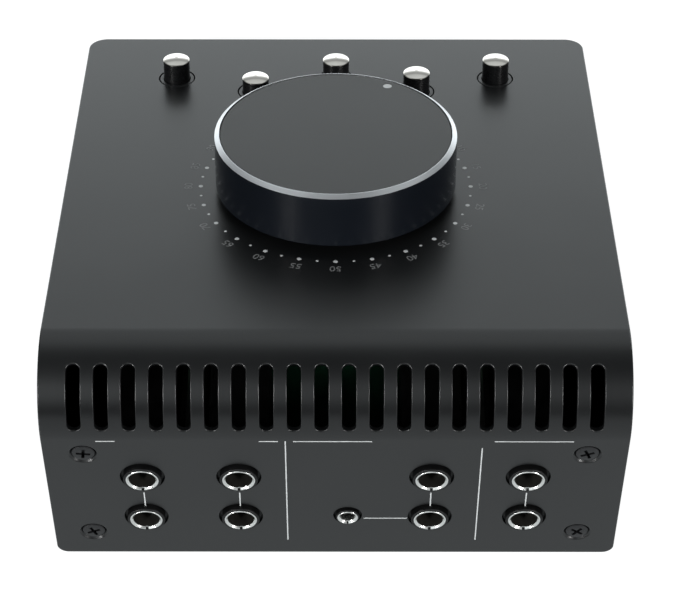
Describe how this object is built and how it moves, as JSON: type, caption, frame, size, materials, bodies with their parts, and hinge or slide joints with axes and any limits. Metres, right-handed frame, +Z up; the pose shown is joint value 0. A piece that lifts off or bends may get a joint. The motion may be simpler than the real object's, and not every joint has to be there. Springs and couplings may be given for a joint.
{
  "type": "studio monitor controller",
  "caption": "Desktop wedge-shaped monitor controller with a large volume knob, push buttons and a rear panel of jack sockets.",
  "frame": {"origin": "on the table, under the middle of the whole object", "axes": "+Z up, +Y out of the rear panel, -Y towards the user, +X to the user's right"},
  "size_m": [0.138, 0.1564, 0.0726],
  "materials": {
    "cover_coat": "satin powder coat",
    "tray_coat": "satin powder coat",
    "foot_rubber": "matt",
    "black_screw": "satin black",
    "plated_steel": "zinc plated",
    "circuit_board": "solder mask",
    "connector_plastic": "matt",
    "cable_grey": "matt",
    "nickel": "polished nickel",
    "contact_metal": "satin",
    "jack_plastic": "satin",
    "guide_plastic": "satin",
    "knob_side": "black anodised, satin",
    "bright_cut": "diamond cut",
    "knob_face": "dark anodised, fine turned",
    "pointer_pale": "matt",
    "cap_black": "gloss",
    "cap_chrome": "polished",
    "switch_plastic": "satin",
    "spring_steel": "drawn wire"
  },
  "bodies": {
    "chassis": {"cover": "cover_coat", "tray": "tray_coat", "button_guides": "guide_plastic", "rubber_feet": "foot_rubber", "rear_screws": "black_screw", "board_standoffs": "plated_steel", "board_screws": "plated_steel", "control_board": "circuit_board", "jack_board": "circuit_board", "ribbon_connectors": "connector_plastic", "ribbon_cable": "cable_grey", "output_b_left_jack": "jack_plastic", "output_b_right_jack": "jack_plastic", "output_a_left_jack": "jack_plastic", "output_a_right_jack": "jack_plastic", "input_b_left_jack": "jack_plastic", "input_b_right_jack": "jack_plastic", "input_a_left_jack": "jack_plastic", "input_a_right_jack": "jack_plastic", "jack_ferrules": "nickel", "jack_contacts": "contact_metal", "small_jack_body": "jack_plastic", "small_jack_ferrule": "nickel", "pot_housing": "plated_steel", "pot_bushing": "contact_metal", "pot_washer": "plated_steel", "pot_nut": "plated_steel", "pot_track": "contact_metal", "source_switch_body": "switch_plastic", "mute_switch_body": "switch_plastic", "dim_switch_body": "switch_plastic", "mono_switch_body": "switch_plastic", "monitor_switch_body": "switch_plastic", "source_spring": "spring_steel", "mute_spring": "spring_steel", "dim_spring": "spring_steel", "mono_spring": "spring_steel", "monitor_spring": "spring_steel"},
    "knob": {"volume_knob": "knob_side", "knob_insert": "connector_plastic", "knob_trim_ring": "bright_cut", "knob_top_disc": "knob_face", "knob_pointer": "pointer_pale", "pot_shaft": "plated_steel", "pot_wiper": "contact_metal"},
    "source_button": {"source_button_cap": "cap_black", "source_button_top": "cap_chrome", "source_plunger": "switch_plastic"},
    "mute_button": {"mute_button_cap": "cap_black", "mute_button_top": "cap_chrome", "mute_plunger": "switch_plastic"},
    "dim_button": {"dim_button_cap": "cap_black", "dim_button_top": "cap_chrome", "dim_plunger": "switch_plastic"},
    "mono_button": {"mono_button_cap": "cap_black", "mono_button_top": "cap_chrome", "mono_plunger": "switch_plastic"},
    "monitor_button": {"monitor_button_cap": "cap_black", "monitor_button_top": "cap_chrome", "monitor_plunger": "switch_plastic"}
  },
  "joints": [
    {"name": "volume", "type": "hinge", "parent": "chassis", "child": "knob", "pos_m": [0, -0.0037, 0.04868], "axis": [0, 0.2805, -0.9599], "range_deg": [0, 300]},
    {"name": "source_press", "type": "slide", "parent": "chassis", "child": "source_button", "axis": [0, 0.2805, -0.9599], "range_m": [0, 0.0025], "stiffness_N_per_m": 400, "springref_m": -0.002, "deforming": ["source_spring"]},
    {"name": "mute_press", "type": "slide", "parent": "chassis", "child": "mute_button", "axis": [0, 0.2805, -0.9599], "range_m": [0, 0.0025], "stiffness_N_per_m": 400, "springref_m": -0.002, "deforming": ["mute_spring"]},
    {"name": "dim_press", "type": "slide", "parent": "chassis", "child": "dim_button", "axis": [0, 0.2805, -0.9599], "range_m": [0, 0.0025], "stiffness_N_per_m": 400, "springref_m": -0.002, "deforming": ["dim_spring"]},
    {"name": "mono_press", "type": "slide", "parent": "chassis", "child": "mono_button", "axis": [0, 0.2805, -0.9599], "range_m": [-0.0016, 0.0009], "stiffness_N_per_m": 400, "deforming": ["mono_spring"]},
    {"name": "monitor_press", "type": "slide", "parent": "chassis", "child": "monitor_button", "axis": [0, 0.2805, -0.9599], "range_m": [0, 0.0025], "stiffness_N_per_m": 400, "springref_m": -0.002, "deforming": ["monitor_spring"]}
  ]
}
